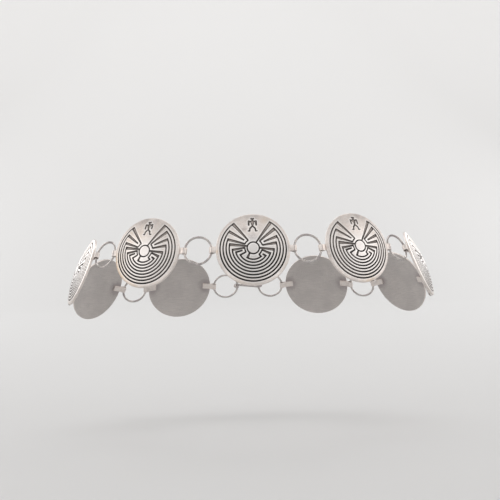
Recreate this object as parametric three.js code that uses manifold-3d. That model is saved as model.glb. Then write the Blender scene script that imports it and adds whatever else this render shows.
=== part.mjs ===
// A concho belt: nine domed silver conchos with a recessed maze, joined by round wire rings
// that pass through folded strap bails soldered behind each rim, and closed by an S hook at the back.
// Units are millimetres and +Z is up. The belt's front faces -Y. The origin is the middle of the loop.

import * as THREE from 'three';
import { mergeVertices } from 'three/addons/utils/BufferGeometryUtils.js';
import Module from 'manifold-3d';

const wasm = await Module();
wasm.setup();

// Concho sizes
const CONCHO_DIAMETER = 50.8;
const CONCHO_THICKNESS = 1.45;
const CENTRE_THINNING = 0.12;
const DOME_RISE = 3.9;
const EDGE_CHAMFER = 0.3;
const RIM_BAND = 2.8;
const GROOVE_WIDTH = 0.9;
const GROOVE_DEPTH = 0.7;
const FIGURE_HEIGHT = 10.6;
const FIGURE_TOP_GAP = 2.95;

// Ring, bail and hook sizes
const RING_RADIUS = 9.65;
const RING_WIRE = 1.6;
const WIRE_CLEARANCE = 0.45;
const STRAP_WIDTH = 4.3;
const STRAP_THICKNESS = 0.55;
const STRAP_LEG = 6.0;
const BAIL_STANDOFF = 1.05;
const BAIL_DROP = 1.2;
const BAIL_RISE = 0.85;
const SOLDER_SINK = 0.2;
const HOOK_WIRE = 2.0;
const HOOK_HALF = 8.5;
const HOOK_CLEARANCE = 0.5;
const HOOK_TILT = 20;
const HOOK_END_ANGLE = -120;

// How the belt hangs: the front is a wider curve than the back, as shares of the half width
const FRONT_DEPTH_SHARE = 0.80;
const BACK_DEPTH_SHARE = 0.545;

// Each concho from the front one to the last on one side: how far its face turns up, how steeply
// the chain runs down along it towards the back, and how steeply along the ring after it, all in
// degrees
const STATIONS = [
  { name: 'front', tilt: 18.5, fall: 0, ringFall: 0.75 },
  { name: 'side_front', tilt: 19.7, fall: 1.5, ringFall: 4 },
  { name: 'hip', tilt: 26.4, fall: 26.5, ringFall: 6 },
  { name: 'side_back', tilt: 23, fall: 4, ringFall: 2 },
  { name: 'back', tilt: 20, fall: 0, ringFall: 0 },
];

// How far out of line, in degrees, a ring's wire may cross a bail's tunnel
const RING_PLAY = 4;

// How finely curves are cut into flats
const RIM_SIDES = 28;
const ARC_SAG = 0.36;
const RING_SIDES = 12;
const WIRE_SIDES = 6;
const LOOP_SIDES = 7;
const BORE_SIDES = 6;
const LOOP_OPEN = 125;
const HOOK_STEP = 30;

// Sizes that follow from those above
const radius = CONCHO_DIAMETER / 2;
const sphere = (radius * radius + DOME_RISE * DOME_RISE) / (2 * DOME_RISE);
const patternRadius = radius - RIM_BAND;
const wireRadius = RING_WIRE / 2;
const tunnelRadius = wireRadius + WIRE_CLEARANCE;
const loopRadius = tunnelRadius + STRAP_THICKNESS;
const bailReach = radius + BAIL_STANDOFF + loopRadius;
const DEGREE = Math.PI / 180;

// The maze. Eight arcs run round the face, open at the top where the figure stands. Angles are in
// degrees from straight down, growing towards the viewer's right. Radii are shares of the
// outermost arc's radius and widths are multiples of the groove width.
const ARC_COUNT = 8;
const FIRST_ARC_SHARE = 0.355;
const BUTTON_SHARE = 0.183;
const LINES = [
  { side: 'left', start: 0.280, startAngle: -149, endAngle: -144, arc: 7, startWidth: 1.1, endWidth: 2.6 },
  { side: 'left', start: 0.365, startAngle: -133.5, endAngle: -128.4, arc: 6, startWidth: 1.15, endWidth: 2.25 },
  { side: 'left', start: 0.280, startAngle: -117.5, endAngle: -112, arc: 5, startWidth: 1.25, endWidth: 2.05 },
  { side: 'left', start: 0.183, startAngle: -108, endAngle: -101, arc: 4, startWidth: 1.35, endWidth: 2.4 },
  { side: 'left', start: 0.254, startAngle: -92.5, endAngle: -86.5, arc: 3, startWidth: 1.25, endWidth: 1.8 },
  { side: 'left', start: 0.330, startAngle: -78, endAngle: -77.5, arc: 2, startWidth: 1.2, endWidth: 1.4 },
  { side: 'left', start: 0.254, startAngle: -61, endAngle: -62, arc: 1, startWidth: 1.05, endWidth: 1.35 },
  { side: 'left', start: 0.183, startAngle: -36, endAngle: -31, arc: 0, startWidth: 1.1, endWidth: 1.8 },
  { side: 'right', start: 0.183, startAngle: 152, endAngle: 146.5, arc: 7, startWidth: 1.0, endWidth: 2.6 },
  { side: 'right', start: 0.290, startAngle: 137, endAngle: 133, arc: 6, startWidth: 1.2, endWidth: 2.6 },
  { side: 'right', start: 0.370, startAngle: 120.6, endAngle: 117, arc: 5, startWidth: 1.2, endWidth: 2.25 },
  { side: 'right', start: 0.290, startAngle: 106, endAngle: 103, arc: 4, startWidth: 1.25, endWidth: 2.25 },
  { side: 'right', start: 0.183, startAngle: 89, endAngle: 85, arc: 3, startWidth: 1.25, endWidth: 2.05 },
  { side: 'right', start: 0.267, startAngle: 76, endAngle: 70.5, arc: 2, startWidth: 1.2, endWidth: 1.9 },
  { side: 'right', start: 0.334, startAngle: 55, endAngle: 55.5, arc: 1, startWidth: 1.1, endWidth: 1.5 },
  { side: 'right', start: 0.267, startAngle: 39, endAngle: 39.5, arc: 0, startWidth: 1.05, endWidth: 1.35 },
];
const JOINING_ARCS = [
  { side: 'left', at: 0.280, from: -150, to: -116.5 },
  { side: 'left', at: 0.254, from: -94, to: -59.5 },
  { side: 'right', at: 0.290, from: 104.5, to: 138.5 },
  { side: 'right', at: 0.267, from: 37.5, to: 77.5 },
];

// Half of the small figure's outline, from its head down to between its feet, as shares of its height
const FIGURE_HALF = [
  { part: 'crown', across: 0, up: 0.95 },
  { part: 'hair', across: 0.10, up: 1 },
  { part: 'cheek', across: 0.115, up: 0.88 },
  { part: 'neck', across: 0.045, up: 0.82 },
  { part: 'shoulder', across: 0.12, up: 0.78 },
  { part: 'shoulder', across: 0.265, up: 0.81 },
  { part: 'upper_arm', across: 0.295, up: 0.76 },
  { part: 'hand', across: 0.285, up: 0.43 },
  { part: 'hand', across: 0.19, up: 0.45 },
  { part: 'inner_arm', across: 0.185, up: 0.67 },
  { part: 'armpit', across: 0.125, up: 0.67 },
  { part: 'waist', across: 0.05, up: 0.42 },
  { part: 'knee', across: 0.215, up: 0.25 },
  { part: 'ankle', across: 0.235, up: 0.085 },
  { part: 'toe', across: 0.32, up: 0.095 },
  { part: 'toe', across: 0.32, up: 0.01 },
  { part: 'heel', across: 0.155, up: 0 },
  { part: 'inner_knee', across: 0.13, up: 0.19 },
  { part: 'crotch', across: 0, up: 0.335 },
];

// Helpers for closed shapes

function toSolid(geometry) {
  const bare = geometry.clone();
  bare.deleteAttribute('normal');
  bare.deleteAttribute('uv');
  const merged = mergeVertices(bare, 1e-5);
  return new wasm.Manifold(new wasm.Mesh({
    numProp: 3,
    vertProperties: Float32Array.from(merged.attributes.position.array),
    triVerts: Uint32Array.from(merged.index.array),
  }));
}

function toGeometry(solid) {
  const mesh = solid.getMesh();
  const geometry = new THREE.BufferGeometry();
  geometry.setAttribute('position', new THREE.BufferAttribute(Float32Array.from(mesh.vertProperties), 3));
  geometry.setIndex(new THREE.BufferAttribute(Uint32Array.from(mesh.triVerts), 1));
  geometry.computeVertexNormals();
  return geometry;
}

function prism(points, low, high) {
  const shape = new THREE.Shape(points.map((p) => new THREE.Vector2(p[0], p[1])));
  const geometry = new THREE.ExtrudeGeometry(shape, { depth: high - low, bevelEnabled: false });
  geometry.translate(0, 0, low);
  return toSolid(geometry);
}

function polar(r, degrees) {
  return [r * Math.sin(degrees * DEGREE), -r * Math.cos(degrees * DEGREE)];
}

function stepsFor(r, span) {
  const largest = 2 * Math.acos(1 - Math.min(ARC_SAG / r, 0.5)) / DEGREE;
  return Math.max(1, Math.ceil(span / largest));
}

function sweep(path, normal, wire, closed) {
  const rows = path.length;
  const positions = [];
  const index = [];
  for (let i = 0; i < rows; i += 1) {
    const before = path[closed ? (i + rows - 1) % rows : Math.max(i - 1, 0)];
    const after = path[closed ? (i + 1) % rows : Math.min(i + 1, rows - 1)];
    const along = after.clone().sub(before).normalize();
    const across = new THREE.Vector3().crossVectors(normal, along).normalize();
    for (let j = 0; j < WIRE_SIDES; j += 1) {
      const turn = 2 * Math.PI * j / WIRE_SIDES;
      const point = path[i].clone();
      point.addScaledVector(across, wire * Math.cos(turn));
      point.addScaledVector(normal, wire * Math.sin(turn));
      positions.push(point.x, point.y, point.z);
    }
  }
  const last = closed ? rows : rows - 1;
  for (let i = 0; i < last; i += 1) {
    const next = (i + 1) % rows;
    for (let j = 0; j < WIRE_SIDES; j += 1) {
      const k = (j + 1) % WIRE_SIDES;
      const a = i * WIRE_SIDES + j;
      const b = i * WIRE_SIDES + k;
      const c = next * WIRE_SIDES + k;
      const d = next * WIRE_SIDES + j;
      index.push(a, b, c, a, c, d);
    }
  }
  if (!closed) {
    const end = (rows - 1) * WIRE_SIDES;
    for (let j = 1; j < WIRE_SIDES - 1; j += 1) {
      index.push(0, j + 1, j);
      index.push(end, end + j, end + j + 1);
    }
  }
  const geometry = new THREE.BufferGeometry();
  geometry.setAttribute('position', new THREE.Float32BufferAttribute(positions, 3));
  geometry.setIndex(index);
  geometry.computeVertexNormals();
  return geometry;
}

// The concho

function dome(r) {
  return Math.sqrt(Math.max(sphere * sphere - r * r, 0)) - (sphere - DOME_RISE);
}

function arcGroove(r, from, to, low, high) {
  const steps = stepsFor(r, to - from);
  const half = GROOVE_WIDTH / 2;
  const outer = [];
  const inner = [];
  for (let i = 0; i <= steps; i += 1) {
    const angle = from + (to - from) * i / steps;
    outer.push(polar(r + half, angle));
    inner.unshift(polar(r - half, angle));
  }
  return prism([...outer, ...inner], low, high);
}

function lineGroove(line, low, high) {
  const start = line.start * patternRadius;
  const end = arcRadius(line.arc);
  const [sx, sy] = polar(start, line.startAngle);
  const [ex, ey] = polar(end, line.endAngle);
  const length = Math.hypot(ex - sx, ey - sy);
  const acrossX = -(ey - sy) / length;
  const acrossY = (ex - sx) / length;
  const a = line.startWidth * GROOVE_WIDTH / 2;
  const b = line.endWidth * GROOVE_WIDTH / 2;
  return prism([
    [sx - acrossX * a, sy - acrossY * a],
    [ex - acrossX * b, ey - acrossY * b],
    [ex + acrossX * b, ey + acrossY * b],
    [sx + acrossX * a, sy + acrossY * a],
  ], low, high);
}

function arcRadius(number) {
  const first = FIRST_ARC_SHARE * patternRadius;
  return first + (patternRadius - first) * number / (ARC_COUNT - 1);
}

// An arc runs on to the far side of the line that it joins
function arcEnd(side, arc) {
  const line = LINES.find((row) => row.side === side && row.arc === arc);
  const half = Math.asin(line.endWidth * GROOVE_WIDTH / 2 / arcRadius(arc)) / DEGREE;
  return side === 'left' ? line.endAngle - half : line.endAngle + half;
}

function buttonGroove(low, high) {
  const r = BUTTON_SHARE * patternRadius;
  const steps = stepsFor(r, 360);
  const circle = (size) => Array.from({ length: steps }, (_, i) => polar(size, 360 * i / steps));
  const outer = prism(circle(r + GROOVE_WIDTH / 2), low, high);
  return outer.subtract(prism(circle(r - GROOVE_WIDTH / 2), low - 1, high + 1));
}

function figureGroove(low, high) {
  const foot = radius - FIGURE_TOP_GAP - FIGURE_HEIGHT;
  const right = FIGURE_HALF.map((p) => [p.across * FIGURE_HEIGHT, foot + p.up * FIGURE_HEIGHT]);
  const left = right.slice(1, -1).reverse().map(([x, y]) => [-x, y]);
  return prism([...right, ...left], low, high);
}

function mazeCutter() {
  const low = CONCHO_THICKNESS - GROOVE_DEPTH;
  const high = CONCHO_THICKNESS + 1;
  let cutter = buttonGroove(low, high);
  for (let arc = 0; arc < ARC_COUNT; arc += 1) {
    cutter = cutter.add(arcGroove(arcRadius(arc), arcEnd('left', arc), arcEnd('right', arc), low, high));
  }
  for (const line of LINES) {
    cutter = cutter.add(lineGroove(line, low, high));
  }
  for (const arc of JOINING_ARCS) {
    cutter = cutter.add(arcGroove(arc.at * patternRadius, arc.from, arc.to, low, high));
  }
  return cutter.add(figureGroove(low, high));
}

// The disc is cut flat, then each corner is lifted onto the dome
function domedFace() {
  const middle = radius * 0.55;
  const profile = [
    [0, CENTRE_THINNING],
    [middle, CENTRE_THINNING * 0.6],
    [radius, 0],
    [radius, CONCHO_THICKNESS - EDGE_CHAMFER],
    [radius - EDGE_CHAMFER, CONCHO_THICKNESS],
    [0, CONCHO_THICKNESS],
  ];
  const disc = new THREE.LatheGeometry(profile.map(([r, z]) => new THREE.Vector2(r, z)), RIM_SIDES);
  disc.rotateX(Math.PI / 2);
  const cut = toGeometry(toSolid(disc).subtract(mazeCutter()));
  const corners = cut.attributes.position;
  for (let i = 0; i < corners.count; i += 1) {
    corners.setZ(i, corners.getZ(i) + dome(Math.hypot(corners.getX(i), corners.getY(i))));
  }
  return cut;
}

// A strap folded round a tunnel, with its two legs lying together against the hollow back.
// The side is 1 for the viewer's right and -1 for the left.
function bail(side) {
  const legEnd = radius - STRAP_LEG;
  const legTop = SOLDER_SINK;
  const legLow = SOLDER_SINK - 2 * STRAP_THICKNESS;
  const leave = radius - EDGE_CHAMFER;
  const loopStep = 2 * LOOP_OPEN / LOOP_SIDES;
  const corner = (r, degrees) => new THREE.Vector2(
    side * (bailReach + r * Math.cos(degrees * DEGREE)),
    -BAIL_DROP + r * Math.sin(degrees * DEGREE),
  );
  const outline = [
    new THREE.Vector2(side * leave, dome(leave) + legTop),
    new THREE.Vector2(side * legEnd, dome(legEnd) + legTop),
    new THREE.Vector2(side * legEnd, dome(legEnd) + legLow),
    new THREE.Vector2(side * leave, dome(leave) + legLow),
  ];
  for (let i = 0; i <= LOOP_SIDES; i += 1) {
    outline.push(corner(loopRadius / Math.cos(loopStep / 2 * DEGREE), loopStep * i - LOOP_OPEN));
  }
  // Seen from the other side the points run the other way round
  const inOrder = (list) => (side > 0 ? list : list.reverse());
  const shape = new THREE.Shape(inOrder(outline));
  const boreStep = 360 / BORE_SIDES;
  const bore = Array.from({ length: BORE_SIDES }, (_, i) => (
    corner(tunnelRadius / Math.cos(boreStep / 2 * DEGREE), boreStep * (i + 0.5))
  ));
  shape.holes.push(new THREE.Path(inOrder(bore)));
  const strap = new THREE.ExtrudeGeometry(shape, { depth: STRAP_WIDTH, bevelEnabled: false });
  strap.translate(0, 0, -STRAP_WIDTH / 2);
  strap.rotateX(Math.PI / 2);
  strap.translate(0, BAIL_RISE, 0);
  return toSolid(strap);
}

function conchoGeometry() {
  return toGeometry(toSolid(domedFace()).add(bail(1)).add(bail(-1)));
}

// A ring whose wire crosses each bail in the middle of a flat. The bend is how far, in degrees,
// the two crossings stand above the ring's middle.
function ringGeometry(bend) {
  const half = 180 / RING_SIDES;
  const between = (RING_SIDES - 2) / 2;
  const reach = RING_RADIUS / Math.cos(half * DEGREE);
  const angles = [];
  for (const [from, to] of [[bend + half, 180 - bend - half], [180 - bend + half, 360 + bend - half]]) {
    for (let i = 0; i <= between; i += 1) {
      angles.push(from + (to - from) * i / between);
    }
  }
  const path = angles.map((a) => (
    new THREE.Vector3(reach * Math.cos(a * DEGREE), reach * Math.sin(a * DEGREE), 0)
  ));
  return sweep(path, new THREE.Vector3(0, 0, 1), wireRadius, true);
}

// An S of round wire. Its curls close round the end rings' wire, far enough for the belt to stay shut.
function hookGeometry() {
  const curl = HOOK_WIRE / 2 + HOOK_CLEARANCE + wireRadius;
  const lean = Math.asin(curl / HOOK_HALF) / DEGREE;
  const steps = Math.ceil((90 + lean - HOOK_END_ANGLE) / HOOK_STEP);
  const half = [];
  for (let i = 0; i <= steps; i += 1) {
    const angle = (90 + lean + (HOOK_END_ANGLE - 90 - lean) * i / steps) * DEGREE;
    half.push(new THREE.Vector3(HOOK_HALF + curl * Math.cos(angle), 0, curl * Math.sin(angle)));
  }
  const other = half.map((p) => p.clone().negate()).reverse();
  return sweep([...other, ...half], new THREE.Vector3(0, 1, 0), HOOK_WIRE / 2, false);
}

// How the chain lies: points follow an oval from the front round one side to the back

function ovalPoint(turn, halfWidth) {
  const share = Math.cos(turn) > 0 ? FRONT_DEPTH_SHARE : BACK_DEPTH_SHARE;
  return new THREE.Vector3(halfWidth * Math.sin(turn), -halfWidth * share * Math.cos(turn), 0);
}

function bisect(low, high, isLow) {
  let a = low;
  let b = high;
  for (let i = 0; i < 50; i += 1) {
    const middle = (a + b) / 2;
    if (isLow(middle)) a = middle;
    else b = middle;
  }
  return (a + b) / 2;
}

// Lays one side of the chain on an oval of this half width. Each ring's chord is given in chords.
function layChain(halfWidth, chords) {
  let turn = Math.asin(Math.min(bailReach / halfWidth, 1));
  let height = 0;
  const points = [ovalPoint(turn, halfWidth)];
  const goOn = (length, fall) => {
    const from = ovalPoint(turn, halfWidth);
    const flat = length * Math.cos(fall * DEGREE);
    turn = bisect(turn, turn + 1.6, (t) => ovalPoint(t, halfWidth).distanceTo(from) < flat);
    height -= length * Math.sin(fall * DEGREE);
    points.push(ovalPoint(turn, halfWidth).setZ(height));
  };
  STATIONS.forEach((station, i) => {
    if (i > 0) goOn(2 * bailReach, station.fall);
    goOn(chords[i], station.ringFall);
  });
  return points;
}

// The chain's own directions between two bails: along it, up the face and out of the face
function faceFrame(from, to, tilt) {
  const along = to.clone().sub(from).normalize();
  const out = new THREE.Vector3().crossVectors(along, new THREE.Vector3(0, 0, 1)).normalize();
  const rise = new THREE.Vector3().crossVectors(out, along);
  const c = Math.cos(tilt * DEGREE);
  const s = Math.sin(tilt * DEGREE);
  const up = rise.clone().multiplyScalar(c).addScaledVector(out, -s);
  const normal = out.clone().multiplyScalar(c).addScaledVector(rise, s);
  return { from, to, along, up, normal };
}

// A ring's plane holds both crossings and leans as the bails on its two sides do
function ringFrame(from, to, firstUp, secondUp) {
  const along = to.clone().sub(from).normalize();
  const normal = new THREE.Vector3().crossVectors(along, firstUp.clone().add(secondUp)).normalize();
  const up = new THREE.Vector3().crossVectors(normal, along);
  const first = Math.atan2(firstUp.dot(along), firstUp.dot(up)) / DEGREE;
  const second = Math.atan2(secondUp.dot(along), secondUp.dot(up)) / DEGREE;
  const meet = (first - second) / 2;
  const bend = Math.sign(meet) * Math.max(Math.abs(meet) - RING_PLAY, 0);
  return { from, to, along, up, normal, bend };
}

function mirrorPoint(point) {
  return new THREE.Vector3(-point.x, point.y, point.z);
}

// Puts conchos and rings on both sides, with the oval just wide enough for the hook to close it
function solveBelt() {
  const hookUp = faceFrame(new THREE.Vector3(1, 0, 0), new THREE.Vector3(), HOOK_TILT).up;
  const widest = STATIONS.length * (2 * bailReach + 2 * RING_RADIUS);
  let chords = STATIONS.map(() => 2 * RING_RADIUS);
  let belt;
  for (let pass = 0; pass < 6; pass += 1) {
    const halfWidth = bisect(widest / 6, widest, (w) => layChain(w, chords).at(-1).x < HOOK_HALF);
    const points = layChain(halfWidth, chords);
    const front = faceFrame(mirrorPoint(points[0]), points[0], STATIONS[0].tilt);
    const sides = STATIONS.slice(1).map((station, i) => (
      faceFrame(points[2 * i + 1], points[2 * i + 2], station.tilt)
    ));
    const faces = [front, ...sides];
    const rings = faces.map((face, i) => (
      ringFrame(points[2 * i], points[2 * i + 1], face.up, faces[i + 1]?.up ?? hookUp)
    ));
    chords = rings.map((ring) => 2 * RING_RADIUS * Math.cos(ring.bend * DEGREE));
    belt = { halfWidth, points, faces, rings, hookUp };
  }
  return belt;
}

// Materials

function silver(name, color, roughness) {
  return new THREE.MeshStandardMaterial({ name, color, roughness, metalness: 1 });
}

const conchoSilver = silver('concho_silver', 0xb9b4ab, 0.36);
const ringSilver = silver('ring_silver', 0xb4afa6, 0.3);
const hookSilver = silver('hook_silver', 0xaaa59c, 0.34);

// The belt

function place(mesh, frame, origin) {
  mesh.quaternion.setFromRotationMatrix(
    new THREE.Matrix4().makeBasis(frame.along, frame.up, frame.normal),
  );
  mesh.position.copy(origin);
  return mesh;
}

function placeConcho(name, geometry, face) {
  const origin = face.from.clone().add(face.to).multiplyScalar(0.5);
  origin.addScaledVector(face.up, -BAIL_RISE).addScaledVector(face.normal, BAIL_DROP);
  const mesh = new THREE.Mesh(geometry, conchoSilver);
  mesh.name = name;
  return place(mesh, face, origin);
}

function placeRing(name, ring) {
  const origin = ring.from.clone().add(ring.to).multiplyScalar(0.5);
  origin.addScaledVector(ring.up, -RING_RADIUS * Math.sin(ring.bend * DEGREE));
  const mesh = new THREE.Mesh(ringGeometry(ring.bend), ringSilver);
  mesh.name = name;
  return place(mesh, ring, origin);
}

function buildBelt() {
  const belt = new THREE.Group();
  belt.name = 'concho_belt';
  const { points, faces, rings, hookUp } = solveBelt();
  const geometry = conchoGeometry();
  belt.add(placeConcho('concho_front', geometry, faces[0]));
  faces.slice(1).forEach((face, i) => {
    const other = faceFrame(mirrorPoint(face.to), mirrorPoint(face.from), STATIONS[i + 1].tilt);
    belt.add(placeConcho(`concho_right_${i + 1}`, geometry, face));
    belt.add(placeConcho(`concho_left_${i + 1}`, geometry, other));
  });
  rings.forEach((ring, i) => {
    const nextUp = faces[i + 1]?.up ?? hookUp;
    const other = ringFrame(
      mirrorPoint(ring.to), mirrorPoint(ring.from), mirrorPoint(nextUp), mirrorPoint(faces[i].up),
    );
    belt.add(placeRing(`ring_right_${i + 1}`, ring));
    belt.add(placeRing(`ring_left_${i + 1}`, other));
  });
  const end = points.at(-1);
  const hookFrame = faceFrame(end, mirrorPoint(end), HOOK_TILT);
  const hook = new THREE.Mesh(hookGeometry(), hookSilver);
  hook.name = 'clasp_hook';
  belt.add(place(hook, hookFrame, new THREE.Vector3(0, end.y, end.z)));
  belt.position.z = -end.z / 2;
  return belt;
}

export default buildBelt();
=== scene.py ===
"""A silver concho belt in its worn form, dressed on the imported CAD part.

Sizes are millimetres until a mesh is made. A concho's own frame has x to the viewer's right,
y up the face and z out of it, with z = 0 on the rim's back.
"""

import math

import bmesh
import bpy
import numpy as np
from mathutils import Matrix, Vector
from mathutils.geometry import delaunay_2d_cdt


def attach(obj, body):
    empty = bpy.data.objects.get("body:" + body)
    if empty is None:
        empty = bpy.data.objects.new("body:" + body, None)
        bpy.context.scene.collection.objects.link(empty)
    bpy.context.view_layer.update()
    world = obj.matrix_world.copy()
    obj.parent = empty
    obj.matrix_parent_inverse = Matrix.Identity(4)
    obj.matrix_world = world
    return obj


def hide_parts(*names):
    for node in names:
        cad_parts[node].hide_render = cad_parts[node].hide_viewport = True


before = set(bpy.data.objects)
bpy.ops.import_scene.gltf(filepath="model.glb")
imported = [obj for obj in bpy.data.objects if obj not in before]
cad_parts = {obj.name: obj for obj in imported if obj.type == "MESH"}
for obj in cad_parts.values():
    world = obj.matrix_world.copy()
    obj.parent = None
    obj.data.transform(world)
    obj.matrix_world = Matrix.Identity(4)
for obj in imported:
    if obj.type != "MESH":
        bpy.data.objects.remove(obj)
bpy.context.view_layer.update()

MM = 0.001

# Sizes shared with the CAD part
CONCHO_RADIUS = 25.4
CONCHO_THICKNESS = 1.45
CENTRE_THINNING = 0.12
DOME_RISE = 3.9
RIM_BAND = 2.8
GROOVE_WIDTH = 0.9
GROOVE_DEPTH = 0.7
FIGURE_HEIGHT = 10.6
FIGURE_TOP_GAP = 2.95
RING_RADIUS = 9.65
WIRE_RADIUS = 0.8
WIRE_CLEARANCE = 0.45
STRAP_WIDTH = 4.3
STRAP_THICKNESS = 0.55
STRAP_LEG = 6.0
BAIL_STANDOFF = 1.05
BAIL_DROP = 1.2
BAIL_RISE = 0.85
SOLDER_SINK = 0.2
HOOK_WIRE = 2.0
HOOK_HALF = 8.5
HOOK_CLEARANCE = 0.5
HOOK_TILT = 20
HOOK_END_ANGLE = -120
FRONT_DEPTH_SHARE = 0.80
BACK_DEPTH_SHARE = 0.545
RING_PLAY = 4
STATIONS = [
    {"tilt": 18.5, "fall": 0, "ring_fall": 0.75},
    {"tilt": 19.7, "fall": 1.5, "ring_fall": 4},
    {"tilt": 26.4, "fall": 26.5, "ring_fall": 6},
    {"tilt": 23, "fall": 4, "ring_fall": 2},
    {"tilt": 20, "fall": 0, "ring_fall": 0},
]

# Solving the chain: halvings of each search, the widest turn of one link in radians, and the
# rounds that settle how far the rings bend
BISECT_STEPS = 50
WIDEST_STEP = 1.6
SETTLE_ROUNDS = 6

TUNNEL_RADIUS = WIRE_RADIUS + WIRE_CLEARANCE
LOOP_RADIUS = TUNNEL_RADIUS + STRAP_THICKNESS
BAIL_REACH = CONCHO_RADIUS + BAIL_STANDOFF + LOOP_RADIUS
SPHERE = (CONCHO_RADIUS**2 + DOME_RISE**2) / (2 * DOME_RISE)
PATTERN_RADIUS = CONCHO_RADIUS - RIM_BAND

# The maze: angles in degrees from straight down towards the viewer's right, radii as shares of
# the outermost arc's radius, widths as multiples of the groove width
ARC_COUNT = 8
FIRST_ARC_SHARE = 0.355
BUTTON_SHARE = 0.183
LINE_COLUMNS = ("start", "start_angle", "end_angle", "arc", "start_width", "end_width")
LEFT_LINES = [
    (0.280, -149, -144, 7, 1.1, 2.6),
    (0.365, -133.5, -128.4, 6, 1.15, 2.25),
    (0.280, -117.5, -112, 5, 1.25, 2.05),
    (0.183, -108, -101, 4, 1.35, 2.4),
    (0.254, -92.5, -86.5, 3, 1.25, 1.8),
    (0.330, -78, -77.5, 2, 1.2, 1.4),
    (0.254, -61, -62, 1, 1.05, 1.35),
    (0.183, -36, -31, 0, 1.1, 1.8),
]
RIGHT_LINES = [
    (0.183, 152, 146.5, 7, 1.0, 2.6),
    (0.290, 137, 133, 6, 1.2, 2.6),
    (0.370, 120.6, 117, 5, 1.2, 2.25),
    (0.290, 106, 103, 4, 1.25, 2.25),
    (0.183, 89, 85, 3, 1.25, 2.05),
    (0.267, 76, 70.5, 2, 1.2, 1.9),
    (0.334, 55, 55.5, 1, 1.1, 1.5),
    (0.267, 39, 39.5, 0, 1.05, 1.35),
]
JOINING_ARCS = [(0.280, -150, -116.5), (0.254, -94, -59.5), (0.290, 104.5, 138.5), (0.267, 37.5, 77.5)]

# Half of the small figure, as shares of its height, from the crown down to between the feet
FIGURE_HALF = [
    (0, 0.95), (0.055, 1), (0.12, 0.975), (0.115, 0.88), (0.045, 0.84), (0.045, 0.80), (0.12, 0.78),
    (0.265, 0.81), (0.295, 0.76), (0.295, 0.45), (0.25, 0.415), (0.19, 0.45), (0.185, 0.67),
    (0.125, 0.67), (0.05, 0.44), (0.06, 0.41), (0.215, 0.25), (0.235, 0.085), (0.32, 0.095),
    (0.32, 0.01), (0.155, 0), (0.13, 0.19), (0, 0.335),
]

# How the chain lies


def oval_point(turn, half_width):
    """A point of the loop seen from above, at an angle from the front."""
    share = FRONT_DEPTH_SHARE if math.cos(turn) > 0 else BACK_DEPTH_SHARE
    return np.array([half_width * math.sin(turn), -half_width * share * math.cos(turn), 0.0])


def bisect(low, high, is_low):
    for _ in range(BISECT_STEPS):
        middle = (low + high) / 2
        if is_low(middle):
            low = middle
        else:
            high = middle
    return (low + high) / 2


def lay_chain(half_width, chords):
    """The right half of the chain: where each concho and ring ends, from the front to the hook."""
    turn = math.asin(min(BAIL_REACH / half_width, 1))
    height = 0.0
    points = [oval_point(turn, half_width)]
    for i, station in enumerate(STATIONS):
        steps = [(chords[i], station["ring_fall"])]
        if i > 0:
            steps.insert(0, (2 * BAIL_REACH, station["fall"]))
        for length, fall in steps:
            start = oval_point(turn, half_width)
            flat = length * math.cos(math.radians(fall))
            turn = bisect(
                turn,
                turn + WIDEST_STEP,
                lambda t: np.linalg.norm(oval_point(t, half_width) - start) < flat,
            )
            height -= length * math.sin(math.radians(fall))
            points.append(oval_point(turn, half_width) + [0, 0, height])
    return points


def unit(v):
    return v / np.linalg.norm(v)


def face_frame(start, end, tilt):
    """The axes of a concho between two points, its face turned up by the tilt."""
    along = unit(end - start)
    out = unit(np.cross(along, [0, 0, 1]))
    rise = np.cross(out, along)
    c, s = math.cos(math.radians(tilt)), math.sin(math.radians(tilt))
    return {"from": start, "to": end, "along": along, "up": rise * c - out * s, "normal": out * c + rise * s}


def ring_frame(start, end, first_up, second_up):
    """The axes of a ring between two points, and how far it bends to meet both neighbours."""
    along = unit(end - start)
    normal = unit(np.cross(along, first_up + second_up))
    up = np.cross(normal, along)
    first = math.degrees(math.atan2(first_up @ along, first_up @ up))
    second = math.degrees(math.atan2(second_up @ along, second_up @ up))
    meet = (first - second) / 2
    bend = math.copysign(max(abs(meet) - RING_PLAY, 0), meet)
    return {"from": start, "to": end, "along": along, "up": up, "normal": normal, "bend": bend}


def mirror_point(p):
    return np.array([-p[0], p[1], p[2]])


def solve_belt():
    """Finds the loop's width at which the chain just closes on the hook."""
    hook_up = face_frame(np.array([1.0, 0, 0]), np.zeros(3), HOOK_TILT)["up"]
    widest = len(STATIONS) * (2 * BAIL_REACH + 2 * RING_RADIUS)
    chords = [2 * RING_RADIUS] * len(STATIONS)
    for _ in range(SETTLE_ROUNDS):
        half_width = bisect(widest / 6, widest, lambda w: lay_chain(w, chords)[-1][0] < HOOK_HALF)
        points = lay_chain(half_width, chords)
        faces = [face_frame(mirror_point(points[0]), points[0], STATIONS[0]["tilt"])]
        for i, station in enumerate(STATIONS[1:]):
            faces.append(face_frame(points[2 * i + 1], points[2 * i + 2], station["tilt"]))
        ups = [f["up"] for f in faces] + [hook_up]
        rings = [
            ring_frame(points[2 * i], points[2 * i + 1], ups[i], ups[i + 1]) for i in range(len(faces))
        ]
        chords = [2 * RING_RADIUS * math.cos(math.radians(r["bend"])) for r in rings]
    return points, faces, rings, ups


def placed(f, origin):
    """A frame and its origin as a matrix in metres."""
    m = Matrix.Identity(4)
    for row in range(3):
        m[row][0], m[row][1], m[row][2] = f["along"][row], f["up"][row], f["normal"][row]
        m[row][3] = origin[row] * MM
    return m


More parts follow.
